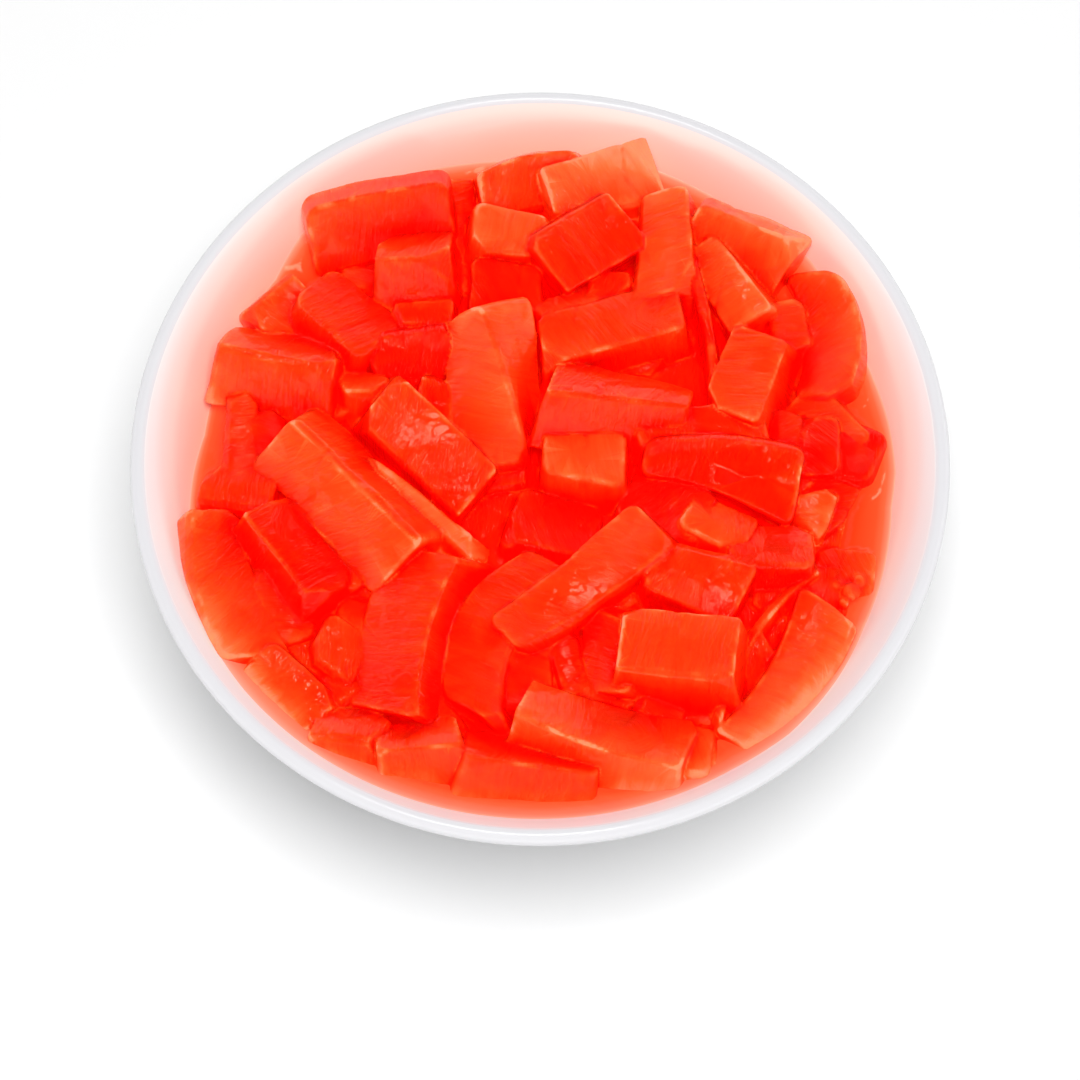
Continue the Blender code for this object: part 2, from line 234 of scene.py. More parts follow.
# Strips that lie lower and fill the gaps between the ones that show: rings of (radius, how many). Each is
# moved along its ring by up to LOW_SHIFT of their spacing, and one end is up to LOW_TIP off the other's
# height.
LOW_RINGS = ((9, 4), (22, 9), (34, 14), (43, 18))
LOW_LENGTH = (9, 14)
LOW_WIDTH = (6, 8)
LOW_THICKNESS = 6
LOW_RISE = (0.2, 1.6)
LOW_LEAN = 25
LOW_SHIFT = 0.2
LOW_TIP = 1
LOW_SEED = 11

# One row for each strip of gel that shows. start and end are where the middle of its top face starts and
# ends, size is its width and thickness, and lean is how far the top tips to the right of the way from
# start to end, at each end. bow pushes the middle of the strip to that side, and ends is the width at
# each end as a share of the full one. Millimetres and degrees.
Strip = namedtuple("Strip", "name start end size lean bow ends", defaults=((0, 0), 0, (1, 1)))

STRIPS = (
    # front, from the left
    Strip("left_front_slab", (-42, -31.3, 39.6), (-32, -40.2, 39.6), (9.5, 8), (10, 10)),
    Strip("left_front_cube", (-32.4, -39.3, 39.6), (-21.8, -40.9, 40.1), (8, 8.5), (-30, -30), 0, (1, 0.9)),
    Strip("front_left_stub", (-23.7, -42.4, 40.1), (-11.5, -41, 40.6), (8.5, 9.5), (-35, -35), 0, (0.8, 1)),
    Strip("front_block", (-11, -43.1, 40.6), (8, -46.2, 39.8), (8.5, 9), (-40, -40), 0, (1, 0.7)),
    Strip("front_wedge", (-2, -37, 42.5), (22, -43.8, 41), (11, 9.5), (-25, -25), 1, (0.75, 0.95)),
    Strip("front_right_stub", (18.5, -43.8, 40), (25, -44.6, 39.5), (8, 6), (-10, -10)),
    Strip("front_right_sliver", (24, -40, 39.5), (24.5, -46, 39), (2.5, 5), (0, 0), 0, (0.7, 1)),
    Strip("front_right_strip", (42, -22.5, 41), (28.5, -43.5, 39.2), (10.5, 8), (-3, -3), -2, (0.95, 0.8)),
    Strip("edge_ribbon_front", (40.3, -16.6, 40.3), (25.4, -40.9, 39.6), (1.6, 5), (0, 0), 2.8, (1, 0.8)),
    Strip("front_right_block", (12, -29, 45), (29, -31, 45), (10.5, 13.5), (-8, -8)),
    Strip("block_neighbour", (8.5, -23.5, 42), (9.5, -36, 40.5), (8, 7), (30, 30), 0, (0.8, 1)),
    Strip("front_sliver", (3, -27, 40.5), (5.5, -35.5, 39.5), (4, 6)),
    Strip("front_round", (-2.5, -28, 41), (-1.5, -38, 39.5), (9, 8), (-10, -10), 0, (0.9, 0.8)),
    Strip("left_pit_block", (-32.5, -26, 39.5), (-26, -30.5, 39), (8, 7)),
    Strip("wavy_strip", (-16.5, -14.5, 43), (-22.5, -38, 40.5), (12, 9), (25, 26), 1.5, (0.95, 0.95)),
    Strip("hooked_strip", (2, -16.5, 42.5), (-9.5, -39, 40.5), (11, 9), (10, 10), 4.5, (0.9, 0.9)),
    Strip("long_front_strip", (-5, -27.5, 43), (17, -11, 45.5), (9.5, 9.5), (-5, 5), 0.8, (0.75, 1)),
    Strip("right_wedge", (16, -16.5, 43.5), (29, -21.5, 43), (10.5, 9), (-4, 6), 0, (0.8, 1)),
    # left side
    Strip("left_wall_slab", (-47.4, -8, 41.5), (-41.2, -30.6, 40.5), (11.5, 6), (-25, -12), 1.5, (0.75, 0.95)),
    Strip("left_ridge_block", (-39.5, -7.5, 42.5), (-29, -20.5, 41.5), (9.5, 9), (-22, -22), 0, (0.9, 1)),
    Strip("left_under_strip", (-38, -6.5, 41), (-26.5, -19, 40), (4, 6)),
    Strip("big_left_slab", (-39.5, 2.5, 43.5), (-21, -17.5, 43), (11.5, 9), (37, 37), 0, (0.85, 1)),
    Strip("left_wall_tail", (-50, -2.5, 39.5), (-39, -4, 41), (8, 5), (-5, -5), 0, (0.8, 1)),
    Strip("left_wall_strip", (-44.2, 13.5, 41), (-44, -1, 40), (5, 8), (0, 0), 0, (0.9, 1)),
    Strip("left_gap_stub", (-40.5, 8.5, 41), (-39, 0, 40.5), (5.5, 7), (0, 0), 0, (1, 0.7)),
    Strip("left_block", (-46.7, 20.4, 42), (-29.5, 16.5, 43), (9, 9.5), (-40, -40), 0, (0.9, 1)),
    Strip("left_gap_round", (-29.5, 13, 41.5), (-22, 13, 41.5), (5.5, 6), (-30, -30)),
    # middle
    Strip("lit_diagonal", (-24, 9, 45), (-9.5, -5.5, 43), (9.5, 9), (5, 8)),
    Strip("centre_upright", (-12, 22, 45.5), (-6.5, -1.5, 43.1), (11.5, 9), (58, 1), 0, (0.9, 0.85)),
    Strip("centre_gap_block", (-18.5, 10.5, 42.5), (-12, 8.5, 42), (7.5, 7)),
    Strip("left_dark_slab", (-25.5, 17, 42), (-13, 17.5, 42.5), (8, 7), (22, 22), 0, (0.8, 1)),
    Strip("low_centre_block", (-4, -8, 41.5), (8.5, -11.5, 41), (10, 8), (-15, -15), 0, (1, 0.9)),
    Strip("centre_block", (1, 1.5, 43.5), (13, -0.5, 43.5), (10, 10), (-12, -12), 0, (0.9, 1)),
    Strip("crowned_wedge", (2, 12.5, 45.5), (22.5, 9.4, 43.6), (10.5, 9.5), (-35, -35), 0, (1, 0.5)),
    Strip("long_back_slab", (0, 18.5, 44), (21, 25, 44), (9, 8.5), (-10, -10)),
    Strip("wide_slab", (15, -0.5, 43.8), (37.5, -5, 43), (11.5, 7), (22, 22), -1.5, (0.45, 1)),
    Strip("slab_behind", (14, 3.5, 43), (33, 4.5, 42.5), (8.5, 6), (-2, -2), -1.5, (0.6, 0.9)),
    Strip("dark_low_slab", (12.5, -4.5, 41.5), (24.5, -8.5, 41.5), (10.5, 8), (-3, -3), 0, (0.8, 1)),
    Strip("small_cut_block", (22, -7.5, 42), (31, -12, 41.5), (8, 8), (-15, -15), 0, (0.9, 1)),
    # right side
    Strip("faceted_block", (27.5, -13, 42), (40, -13, 41), (9.5, 9), (-20, -20), 0, (0.9, 0.9)),
    Strip("right_bubble_piece", (40.5, -16, 38.5), (49, -16.5, 38.5), (8, 5), (0, 0), 0, (1, 0.8)),
    Strip("right_wall_slab", (37, 6, 39), (50.5, 1.5, 39), (11, 6), (-3, -3), 0, (1, 0.8)),
    Strip("right_edge_strip", (41.5, 8, 41), (41, -1.5, 40.5), (6.5, 7), (-12, -12)),
    Strip("right_thin_piece", (36.5, 8, 41), (37, -2, 40.5), (4, 7)),
    Strip("right_block", (33, 20.5, 44), (28, 7.5, 43.5), (9, 9), (12, 12)),
    Strip("back_right_inner", (36.5, 26.5, 41.5), (38, 17.5, 40.5), (5.5, 6)),
    Strip("back_right_bend", (40.1, 31, 42), (41.5, 11, 40), (9.5, 8), (14, 14), -2.8, (0.85, 0.9)),
    # back, from the right
    Strip("back_right_slab", (22, 36.8, 43.5), (37, 30.4, 42), (10, 6), (35, 35), 0, (0.9, 1)),
    Strip("mottled_strip", (23.5, 34.5, 43.5), (31.5, 22, 43), (7.5, 8), (18, 18), 0, (0.8, 1)),
    Strip("edge_ribbon_back", (21, 36, 44), (26, 13, 42), (2, 8), (0, 0), -0.8, (1, 0.7)),
    Strip("back_tall_block", (18.5, 42.5, 44.5), (18.5, 25.5, 44), (9.5, 9), (10, 10), 0, (0.75, 1)),
    Strip("back_tilted_slab", (1, 42.8, 44), (17.5, 47.6, 43.5), (10.8, 6), (8, 8), 0, (0.8, 1)),
    Strip("back_dark_slab", (1, 30, 45), (13, 38, 45.5), (10, 6.5), (19, 19)),
    Strip("small_wet_stub", (7.5, 28.5, 42.5), (13.5, 28, 42.5), (5, 6)),
    Strip("small_wet_wedge", (-0.5, 24.5, 42.5), (8.5, 26.5, 42.5), (5.5, 6), (-20, -20), 0, (0.7, 1)),
    Strip("back_centre_block", (-10, 28.5, 42.5), (0.5, 27.5, 42.5), (9.5, 8), (-2, -2), 0, (1, 0.8)),
    Strip("fan_wedge", (-10.5, 37.5, 44), (1, 35.5, 44.5), (8.5, 8), (2, 2), 0, (0.95, 0.8)),
    Strip("back_mound", (-8.5, 42.9, 42), (7, 46, 42.3), (10, 7), (20, 20), -1.2, (0.8, 0.9)),
    Strip("back_left_stub", (-24, 34, 44), (-13, 34.5, 44), (8.5, 8.5), (-35, -35), 0, (0.9, 1)),
    Strip("back_left_bits", (-22, 24, 42), (-13, 24, 42), (4.5, 5), (0, 0), 0, (0.9, 1)),
    Strip("back_left_slab", (-34.3, 35.2, 41.8), (-13, 39.3, 42.6), (11.5, 5.5), (45, 45), -0.8, (0.95, 1)),
    Strip("left_back_wedge", (-33.5, 28.5, 43), (-23, 19, 42.5), (10.5, 8.5), (-20, -20), 0, (0.9, 1)),
    Strip("left_back_flat", (-42, 22, 40.5), (-34.5, 27.5, 41.5), (8, 6), (15, 15), 0, (0.9, 1)),
)

# Webs of syrup that hang between strips: thin and pale
WEBS = (
    Strip("web_between_slabs", (-25.5, 0.5, 42.6), (-9, -14.8, 41.6), (2.2, 5), (0, 0), 0, (0.6, 1.7)),
    Strip("web_at_right", (39.5, -4.6, 40.4), (40.8, -11.8, 39.4), (9, 4), (0, 0), 0, (1, 0.15)),
)

# Strips that are paler than the rest, where they are thin or lie over pale ones, and darker, below zero
SHADES = {
    # back_tilted_slab is paler for thin gel by the back wall, and partly as a painted highlight
    "web_between_slabs": 4, "web_at_right": 3, "back_tilted_slab": 5.5, "centre_upright": 1.5,
    "back_mound": 2, "back_tall_block": 2, "big_left_slab": 1.5, "mottled_strip": 1.5,
    "right_block": 1.5, "left_block": 1, "fan_wedge": 1.5, "long_front_strip": 1,
    "wavy_strip": -1.5, "crowned_wedge": -1.5, "right_edge_strip": -3, "right_wall_slab": -6,
    "right_thin_piece": -2, "edge_ribbon_back": -2, "dark_low_slab": -2, "left_dark_slab": -2,
    "back_dark_slab": -1, "wide_slab": -0.5, "left_ridge_block": -1,
}

# How high the syrup creeps up the wall: (degrees from +X towards +Y, height)
CREEP = (
    (-180, 36), (-172, 37), (-160, 39.2), (-150, 41.2), (-140, 41.8), (-128, 41.9), (-115, 41.8), (-90, 41.2),
    (-60, 40.9), (-50, 41.6), (-38, 40.2), (-28, 38.6), (-15, 37.6), (-6, 37), (0, 37.6), (9, 37.4), (17, 37),
    (28, 36.8), (40, 38.6), (60, 37.6), (80, 38.4), (95, 37), (110, 38), (125, 38.4), (133, 38.2), (141, 36),
    (160, 35.2), (172, 34.8), (180, 36),
)
CREEP_START = 46
CREEP_CURVE = 2.1
MENISCUS_RISE = 1.1
MENISCUS_REACH = 0.9

# The rest of the syrup: level for LEVEL_WIDTH inside CREEP_START, let a little into the wall at its edge,
# and short of the bowl's floor and of the core by small gaps. INNER_STEP is how far in and down from the
# level's inner edge its hidden side starts.
LEVEL_WIDTH = 4
WALL_SINK = 0.3
INNER_STEP = (1, 3)
CORE_GAP = 0.2
FLOOR_GAP = 0.05
SYRUP_BEND_STEPS = 10
SYRUP_AROUND = 720
SYRUP_ACROSS = 34


def linear(colour):
    """A colour written as sRGB hex, as linear red, green and blue."""
    channels = [int(colour[i:i + 2], 16) / 255 for i in (1, 3, 5)]
    return [c / 12.92 if c <= 0.04045 else ((c + 0.055) / 1.055) ** 2.4 for c in channels]


def add_node(tree, kind, inputs=None, stops=None, **settings):
    """Adds a node. inputs maps its sockets to values or to other nodes' outputs, stops fills a ramp."""
    node = tree.nodes.new(kind)
    for name, value in settings.items():
        setattr(node, name, value)
    for key, value in (inputs or {}).items():
        if isinstance(value, bpy.types.NodeSocket):
            tree.links.new(value, node.inputs[key])
        else:
            node.inputs[key].default_value = value
    if stops:
        elements = node.color_ramp.elements
        for extra in range(len(stops) - len(elements)):
            elements.new(0.5)
        for element, (position, colour) in zip(elements, stops):
            element.position = position
            element.color = (*linear(colour), 1)
    return node


def new_material(name):
    """A material with nodes: itself, its node tree and its shader."""
    material = bpy.data.materials.new(name)
    material.use_nodes = True
    return material, material.node_tree, material.node_tree.nodes["Principled BSDF"]


def wall_radius(z):
    """Radius of the bowl's inner wall at a height, on its straight flare."""
    lip = WALL / 2
    inner_r = RIM_RADIUS - lip - lip * math.cos(FLARE)
    inner_z = BOWL_HEIGHT - lip + lip * math.sin(FLARE)
    return inner_r - (inner_z - z) * math.tan(FLARE)


def arc(centre, radius, start, end, parts):
    """Points on an arc in the profile plane, from angle start to end, measured from +X towards +Z."""
    angles = [start + (end - start) * i / parts for i in range(parts + 1)]
    return [(centre[0] + radius * math.cos(a), centre[1] + radius * math.sin(a)) for a in angles]


def bend_centre():
    """Centre of the round bend between the bowl's floor and its flared wall."""
    z = FLOOR_Z + FLOOR_BEND
    touch_r = math.cos(FLARE) * FLOOR_BEND
    touch_z = z - math.sin(FLARE) * FLOOR_BEND
    return wall_radius(touch_z) - touch_r, z


def add_object(name, data):
    """Puts a mesh, light or camera in the scene."""
    obj = bpy.data.objects.new(name, data)
    bpy.context.scene.collection.objects.link(obj)
    return obj


def finish_skin(mesh, *steps):
    """Runs steps on a mesh, turns its faces outward and shades it smooth."""
    shape = bmesh.new()
    shape.from_mesh(mesh)
    for step in steps:
        step(shape)
    bmesh.ops.recalc_face_normals(shape, faces=shape.faces[:])
    shape.to_mesh(mesh)
    shape.free()
    mesh.shade_smooth()


def turned(name, profile, steps):
    """A solid of revolution in metres. Its profile, in millimetres, starts and ends on the axis."""
    mesh = bpy.data.meshes.new(name)
    edges = [(i, i + 1) for i in range(len(profile) - 1)]
    mesh.from_pydata([(r * MM, 0, z * MM) for r, z in profile], edges, [])
    obj = add_object(name, mesh)
    screw = obj.modifiers.new("turn", "SCREW")
    screw.steps = steps
    screw.render_steps = steps
    screw.use_merge_vertices = True
    screw.merge_threshold = 0.01 * MM
    obj.data = bpy.data.meshes.new_from_object(obj.evaluated_get(bpy.context.evaluated_depsgraph_get()))
    obj.modifiers.clear()
    obj.data.shade_smooth()
    return obj


def porcelain(name, stops, fall):
    """Glazed white porcelain: hard and white, with a clear glassy glaze over it that mirrors the softbox.
    Its colour changes with height, in a painted red glow for red light from the gel on the white above it.
    fall moves it up the same scale towards the front, and down it towards the back."""
    material, tree, shader = new_material(name)
    place = add_node(tree, "ShaderNodeTexCoord")
    split = add_node(tree, "ShaderNodeSeparateXYZ", {0: place.outputs["Object"]})
    height = add_node(tree, "ShaderNodeMapRange", {
        "Value": split.outputs["Z"], "From Min": WARM_FROM * MM, "From Max": BOWL_HEIGHT * MM})
    front = add_node(tree, "ShaderNodeMapRange", {
        "Value": split.outputs["Y"], "From Min": RIM_RADIUS * MM, "From Max": -RIM_RADIUS * MM,
        "To Min": -fall, "To Max": fall})
    scale = add_node(tree, "ShaderNodeMath", {0: height.outputs[0], 1: front.outputs[0]}, operation="ADD")
    ramp = add_node(tree, "ShaderNodeValToRGB", {0: scale.outputs[0]}, stops)
    ripple = add_node(tree, "ShaderNodeTexNoise", {
        "Vector": place.outputs["Object"], "Scale": 1 / (GLAZE_RIPPLE * MM), "Detail": 1})
    bump = add_node(tree, "ShaderNodeBump", {
        "Height": ripple.outputs[0], "Strength": 0.08, "Distance": GLAZE_DEPTH * MM})
    tree.links.new(ramp.outputs[0], shader.inputs["Base Color"])
    tree.links.new(bump.outputs[0], shader.inputs["Normal"])
    shader.inputs["Roughness"].default_value = 0.12
    shader.inputs["IOR"].default_value = 1.5
    return material


def bowl_profile():
    """The bowl's outline in millimetres, from the middle of its floor over the lip to under the foot."""
    lip = WALL / 2
    bend = bend_centre()
    inside = [(0, FLOOR_Z)] + arc(bend, FLOOR_BEND, -math.pi / 2, -FLARE, BEND_STEPS)
    foot_of_wall = inside[-1]
    top_of_wall = (RIM_RADIUS - lip - lip * math.cos(FLARE), BOWL_HEIGHT - lip + lip * math.sin(FLARE))
    for i in range(1, WALL_STEPS):
        share = i / WALL_STEPS
        inside.append(tuple(a + (b - a) * share for a, b in zip(foot_of_wall, top_of_wall)))
    rim = arc((RIM_RADIUS - lip, BOWL_HEIGHT - lip), lip, math.pi - FLARE, -FLARE, BEND_STEPS)
    radius = FLOOR_BEND + WALL
    foot_angle = -math.acos((FOOT_OUTER - bend[0]) / radius)
    outside = arc(bend, radius, -FLARE, foot_angle, OUTER_STEPS)
    foot = [
        (FOOT_OUTER, FOOT_TOP), (FOOT_OUTER, FOOT_BEVEL), (FOOT_OUTER - FOOT_BEVEL / 3, FOOT_BEVEL / 3),
        (FOOT_OUTER - FOOT_BEVEL, 0), (FOOT_INNER + FOOT_BEVEL, 0), (FOOT_INNER, FOOT_BEVEL),
    ]
    recess = [(FOOT_INNER - inward, FOOT_RECESS - down) for inward, down in RECESS_CORNER]
    return inside + rim + outside + foot + recess + [(0, FOOT_RECESS)]


def make_bowl():
    """The bowl: rounded lip, flared wall, round bend to the floor, and a foot ring."""
    bowl = turned("porcelain_bowl", bowl_profile(), BOWL_STEPS)
    bowl.data.materials.append(porcelain("glazed_white_porcelain", PLAIN_WHITE, 0))
    bowl.data.materials.append(porcelain("glazed_porcelain_painted_gel_glow", PAINTED_GLOW_WHITES, WARM_FALL))
    # Inside faces up to LIP_WHITE below the lip's top get the porcelain with the painted red glow
    for face in bowl.data.polygons:
        centre = face.center
        outward = face.normal.x * centre.x + face.normal.y * centre.y
        looks_in = face.normal.z > 0 and outward <= 0
        if looks_in and (FLOOR_Z - 0.1) * MM < centre.z < (BOWL_HEIGHT - LIP_WHITE) * MM:
            face.material_index = 1
    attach(bowl, "root")
    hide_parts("bowl")


def low_strips():
    """Strips spread in rings over the core's dome, turned every way, which show in the gaps."""
    draw = random.Random(LOW_SEED)
    found = []
    for ring, (radius, count) in enumerate(LOW_RINGS):
        for i in range(count):
            place = 2 * math.pi * (i + 0.5 * (ring % 2) + draw.uniform(-LOW_SHIFT, LOW_SHIFT)) / count
            heading = draw.uniform(0, math.pi)
            half = 0.5 * draw.uniform(*LOW_LENGTH)
            top = dome_height(radius) + draw.uniform(*LOW_RISE)
            x = radius * math.cos(place)
            y = radius * math.sin(place)
            start = (x - half * math.cos(heading), y - half * math.sin(heading), top)
            end_top = top + draw.uniform(-LOW_TIP, LOW_TIP)
            end = (x + half * math.cos(heading), y + half * math.sin(heading), end_top)
            lean = draw.uniform(-LOW_LEAN, LOW_LEAN)
            size = (draw.uniform(*LOW_WIDTH), LOW_THICKNESS)
            found.append(Strip(f"low_strip_{ring}_{i}", start, end, size, (lean, lean)))
    return found


def dome_height(radius):
    """Height of the core's domed top at a distance from the axis."""
    edge = SYRUP_Z + CORE_SHOULDER
    return edge + (CORE_TOP - edge) * (1 - (radius / CORE_RADIUS) ** 2)


def wobble(points, draw, amount, waves):
    """Low unevenness, as cut gel has: sine waves of the given lengths in random directions."""
    total = np.zeros(points.shape[:-1])
    for length in waves:
        way = draw.normal(size=3)
        way *= 2 * math.pi / length / np.linalg.norm(way)
        total += np.sin(points @ way + draw.uniform(0, 2 * math.pi))
    return total * amount / len(waves)


def strip_coordinates(strip, points):
    """Where points lie in a strip's own frame, in millimetres from its middle: along, across and up."""
    start = np.array(strip.start, float)
    way = np.array(strip.end, float) - start
    length = np.linalg.norm(way)
    along = way / length
    right = np.cross(along, (0, 0, 1))
    right /= np.linalg.norm(right)
    up = np.cross(right, along)
    offset = points - start
    share = np.clip(offset @ along / length, 0, 1)
    lean = np.radians(strip.lean[0] + (strip.lean[1] - strip.lean[0]) * share)
    side = offset @ right - strip.bow * 4 * share * (1 - share)
    rise = offset @ up
    across = side * np.cos(lean) - rise * np.sin(lean)
    height = rise * np.cos(lean) + side * np.sin(lean) + strip.size[1] / 2
    return offset @ along - length / 2, across, height, share, length


def rounded(a, b, radius):
    """Distance to the space inside two skins, which meet in a rounded edge."""
    reach = np.stack([a, b], -1) + radius
    return np.linalg.norm(np.maximum(reach, 0), axis=-1) + np.minimum(reach.max(-1), 0) - radius


def corner_cut(spot, half, draw):
    """How far points are past a flat cut that takes off a top corner of a strip of this half size."""
    way = draw.uniform(0.25, 1, 3) * (draw.choice((-1, 1)), draw.choice((-1, 1)), 1)
    way /= np.linalg.norm(way)
    return spot @ way - np.abs(way) @ half + draw.uniform(*CUT_DEPTH)


def facet_cut(across, height, half_width, half_thick, draw):
    """How far points are past a shallow flat along one long top edge of a strip."""
    tilt = draw.uniform(*FACET_TILT)
    side = draw.choice((-1, 1))
    cut = side * across * math.sin(tilt) + height * math.cos(tilt) + draw.uniform(*FACET_DEPTH)
    return cut - half_width * math.sin(tilt) - half_thick * math.cos(tilt)


def nick(along, across, length, half_width, draw):
    """Depth of a fine knife nick across a strip, which fades out towards one side."""
    turn = draw.uniform(-NICK_TURN, NICK_TURN)
    line = along * math.cos(turn) + across * math.sin(turn) - draw.uniform(-NICK_PLACE, NICK_PLACE) * length
    fade = np.clip(NICK_FADE + draw.choice((-1, 1)) * across / half_width, 0, 1)
    return draw.uniform(*NICK_DEPTH) * fade * np.exp(-(line / NICK_WIDTH) ** 2)


def strip_distance(strip, points, draw):
    """Distance in millimetres from points to the skin of one strip, below zero inside it."""
    skew = draw.uniform(-SKEW, SKEW, 2)
    crown = draw.uniform(*CROWN)
    along, across, height, share, length = strip_coordinates(strip, points)
    width, thick = strip.size
    half_width = width / 2 * (strip.ends[0] + (strip.ends[1] - strip.ends[0]) * share)
    spread = SIDE_SLOPE * np.clip(thick / 2 - height, 0, thick)
    along = along + skew[0] * across + skew[1] * height
    bulge = crown * (1 - np.clip(across / half_width, -1, 1) ** 2) - 0.5 * crown
    height = height - np.where(height > 0, bulge, 0)
    uneven = wobble(points, draw, *LONG_WAVES) + wobble(points, draw, *SHORT_WAVES)
    edge = min(draw.uniform(*EDGE_ROUND), WIDEST_ROUND * width)
    corner = min(CORNER_ROUND * edge, WIDEST_ROUND * width)
    outline = rounded(np.abs(along) - length / 2 - spread, np.abs(across) - half_width - spread, corner)
    distance = rounded(outline, np.abs(height) - thick / 2, edge)
    spot = np.stack([along, across, height], -1)
    half = np.array([length / 2, width / 2, thick / 2])
    for _ in range(CORNER_CUTS):
        distance = np.maximum(distance, corner_cut(spot, half, draw))
    distance = np.maximum(distance, facet_cut(across, height, half_width, thick / 2, draw))
    for _ in range(NICKS):
        uneven = uneven + nick(along, across, length, half_width, draw)
    return distance + uneven


def weld(a, b, width):
    """The lesser of two distances, with a rounded join where they are nearly the same."""
    near = np.maximum(width - np.abs(a - b), 0) / width
    return np.minimum(a, b) - near * near * width / 4


def gel_field():
    """Distance to the heap's skin on a grid, and which strip is nearest: the last number is the core."""
    axes = [
        np.arange(-GRID_REACH, GRID_REACH, GRID),
        np.arange(-GRID_REACH, GRID_REACH, GRID),
        np.arange(GRID_FLOOR, GRID_TOP, GRID),
    ]
    grid = np.stack(np.meshgrid(*axes, indexing="ij"), -1)
    radius = np.hypot(grid[..., 0], grid[..., 1])
    core_side = radius - CORE_RADIUS - CORE_SPARE
    nearest = np.maximum(DOME_SLOPE * (grid[..., 2] - dome_height(radius)), core_side)
    second = np.full(nearest.shape, FAR)
    joined = nearest.copy()
    strips = [*STRIPS, *low_strips(), *WEBS]
    owner = np.full(nearest.shape, len(strips))
    for number, strip in enumerate(strips):
        reach = max(strip.size) + REACH_SPARE
        ends = np.array([strip.start, strip.end], float)
        low = ends.min(0) - reach - abs(strip.bow)
        high = ends.max(0) + reach + abs(strip.bow)
        part = tuple(
            slice(*np.searchsorted(axis, (low[i], high[i]))) for i, axis in enumerate(axes)
        )
        distance = strip_distance(strip, grid[part], np.random.default_rng(STRIP_SEED + number))
        closer = distance < nearest[part]
        second[part] = np.where(closer, nearest[part], np.minimum(second[part], distance))
        nearest[part] = np.where(closer, distance, nearest[part])
        owner[part] = np.where(closer, number, owner[part])
        joined[part] = weld(joined[part], distance, SEAM_WELD)
    for *centre, size in BUBBLES:
        joined = weld(joined, np.linalg.norm(grid - centre, axis=-1) - size, BUBBLE_WELD)
    field = joined + SEAM_GROOVE * np.exp(-((second - nearest) / SEAM_WIDTH) ** 2)
    past_wall = (radius - wall_radius(grid[..., 2])) * math.cos(FLARE) - WALL_OVERLAP
    field = -weld(-field, -past_wall, SEAM_WELD)
    field[:, :, :CORE_LAYERS] = core_side[:, :, :CORE_LAYERS]
    return axes, field, owner, strips


def surface_net(field, axes):
    """The skin where the field passes zero, as points and quads: one point in each cell that it crosses."""
    inside = field < 0
    size = [n - 1 for n in field.shape]
    corners = sum(
        inside[tuple(slice(o, o + n) for o, n in zip(offset, size))].astype(int)
        for offset in itertools.product((0, 1), repeat=3)
    )
    mixed = (corners > 0) & (corners < 8)
    number = np.full(mixed.shape, -1)
    number[mixed] = np.arange(mixed.sum())
    cells = np.argwhere(mixed)
    total = np.zeros(cells.shape)
    hits = np.zeros(len(cells))
    for axis in range(3):
        step = np.eye(3, dtype=int)[axis]
        for offset in itertools.product((0, 1), repeat=3):
            if offset[axis]:
                continue
            low = cells + offset
            value = field[tuple(low.T)]
            change = value - field[tuple((low + step).T)]
            crossed = inside[tuple(low.T)] != inside[tuple((low + step).T)]
            share = np.where(crossed, value / np.where(crossed, change, 1), 0)
            total += np.where(crossed[:, None], low + share[:, None] * step, 0)
            hits += crossed
    spot = total / hits[:, None]
    points = np.stack([axes[i][0] + spot[:, i] * GRID for i in range(3)], -1)
    quads = []
    for axis in range(3):
        u, v = (axis + 1) % 3, (axis + 2) % 3
        low = tuple(slice(0, -1) if i == axis else slice(1, -1) for i in range(3))
        high = tuple(slice(1, None) if i == axis else slice(1, -1) for i in range(3))
        at = np.argwhere(inside[low] != inside[high])
        at[:, u] += 1
        at[:, v] += 1
        ring = []
        for du, dv in ((-1, -1), (0, -1), (0, 0), (-1, 0)):
            cell = at.copy()
            cell[:, u] += du
            cell[:, v] += dv
            ring.append(number[tuple(cell.T)])
        quad = np.stack(ring, 1)
        faces_back = ~inside[tuple(at.T)]
        quad[faces_back] = quad[faces_back][:, ::-1]
        quads.append(quad)
    return points, np.concatenate(quads), cells


def sample(field, axes, points):
    """The field at points between the grid's own, by blending the eight around each."""
    spot = np.stack([(points[:, i] - axes[i][0]) / GRID for i in range(3)], -1)
    spot = np.clip(spot, 0, np.array(field.shape) - 1.001)
    low = spot.astype(int)
    part = spot - low
    value = np.zeros(len(points))
    for offset in itertools.product((0, 1), repeat=3):
        weight = np.prod(np.where(offset, part, 1 - part), axis=1)
        value += weight * field[tuple((low + offset).T)]
    return value


def skin_normals(field, axes, points):
    """Outward directions of the skin: the field's steepest rise."""
    steps = 0.5 * GRID * np.eye(3)
    rise = [sample(field, axes, points + step) - sample(field, axes, points - step) for step in steps]
    rise = np.stack(rise, -1)
    return rise / np.maximum(np.linalg.norm(rise, axis=1, keepdims=True), 1e-9)


def settle(field, axes, points, ends):
    """Evens out the net, and then puts its points back on the skin."""
    for _ in range(SETTLE_TURNS):
        points = 0.5 * points + 0.5 * neighbour_mean(points, ends)
        off = np.clip(sample(field, axes, points), -SETTLE_LIMIT, SETTLE_LIMIT)[:, None]
        points = points - SETTLE_SHARE * off * skin_normals(field, axes, points)
    return points


def grid_index(axis, values, count):
    """The nearest place on one of the grid's axes to each value."""
    return np.clip(np.round((values - axis[0]) / GRID).astype(int), 0, count - 1)


def owners_at(owner, axes, points):
    """Which strip each point lies in."""
    return owner[tuple(grid_index(axes[i], points[:, i], owner.shape[i]) for i in range(3))]


def share_clear(field, axes, points, way, reaches):
    """How clear of gel it is on the way out from each point, as a mean over some reaches: 0 to 1."""
    return sum(np.clip(sample(field, axes, points + r * way) / r, 0, 1) for r in reaches) / len(reaches)


